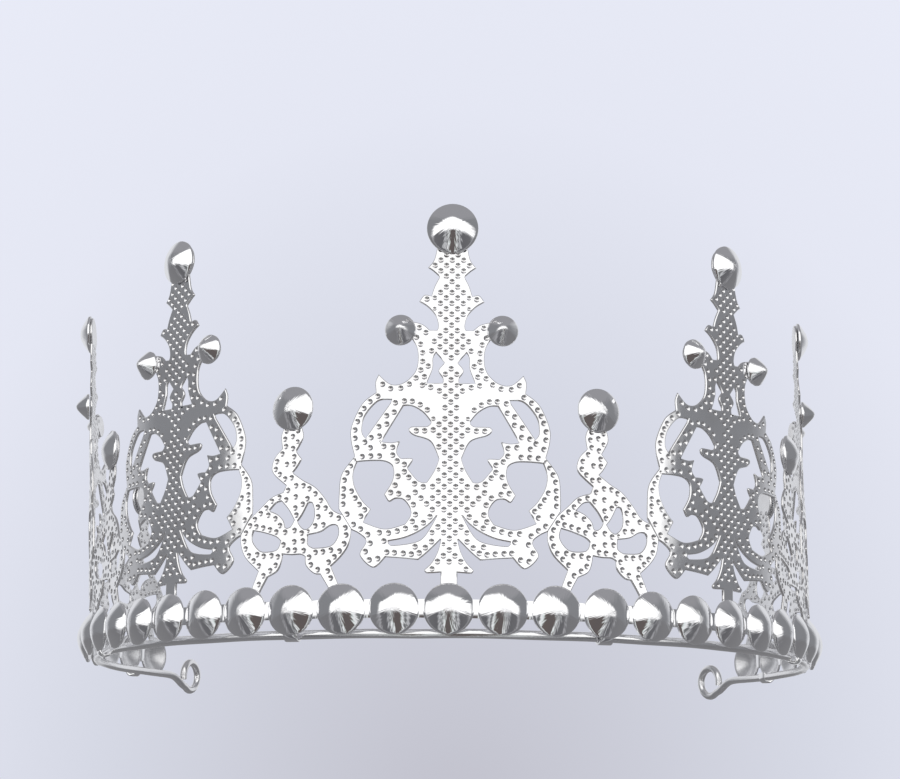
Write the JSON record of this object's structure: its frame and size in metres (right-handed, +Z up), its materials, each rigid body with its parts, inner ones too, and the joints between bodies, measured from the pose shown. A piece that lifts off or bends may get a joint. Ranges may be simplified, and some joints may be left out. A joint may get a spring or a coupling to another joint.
{
  "type": "crown",
  "caption": "Open-backed silver crown: filigree peaks and scrolls with conical studs on a bossed band and a round hoop wire.",
  "frame": {"origin": "under the middle of the bounding box, level with the bottoms of the two eyelets", "axes": "+Z up, -Y to the front peak, +X to the right of someone who looks at the front. The hoop's own middle plane is 1.7 mm to the +X side, because the left rear peak leans further out than the right one"},
  "size_m": [0.1582, 0.1172, 0.0782],
  "materials": {
    "stamped_sheet": "bright silver plate on stamped sheet, covered in punched dimples",
    "polished_cones": "bright silver plate, mirror polished",
    "drawn_wire": "bright silver plate on drawn wire"
  },
  "bodies": {
    "root": {"hoop_wire": "drawn_wire", "eyelet_left": "drawn_wire", "eyelet_right": "drawn_wire", "boss_band": "polished_cones", "peak_front": "stamped_sheet", "top_stud_front": "polished_cones", "arm_stud_front_a": "polished_cones", "arm_stud_front_b": "polished_cones", "peak_left_side": "stamped_sheet", "top_stud_left_side": "polished_cones", "arm_stud_left_side_a": "polished_cones", "arm_stud_left_side_b": "polished_cones", "peak_right_side": "stamped_sheet", "top_stud_right_side": "polished_cones", "arm_stud_right_side_a": "polished_cones", "arm_stud_right_side_b": "polished_cones", "peak_left_rear": "stamped_sheet", "top_stud_left_rear": "polished_cones", "arm_stud_left_rear_a": "polished_cones", "arm_stud_left_rear_b": "polished_cones", "peak_right_rear": "stamped_sheet", "top_stud_right_rear": "polished_cones", "arm_stud_right_rear_a": "polished_cones", "arm_stud_right_rear_b": "polished_cones", "scroll_left_front": "stamped_sheet", "scroll_stud_left_front": "polished_cones", "scroll_right_front": "stamped_sheet", "scroll_stud_right_front": "polished_cones", "scroll_left_back": "stamped_sheet", "scroll_stud_left_back": "polished_cones", "scroll_right_back": "stamped_sheet", "scroll_stud_right_back": "polished_cones", "scroll_left_end": "stamped_sheet", "scroll_stud_left_end": "polished_cones", "scroll_right_end": "stamped_sheet", "scroll_stud_right_end": "polished_cones"}
  },
  "joints": []
}
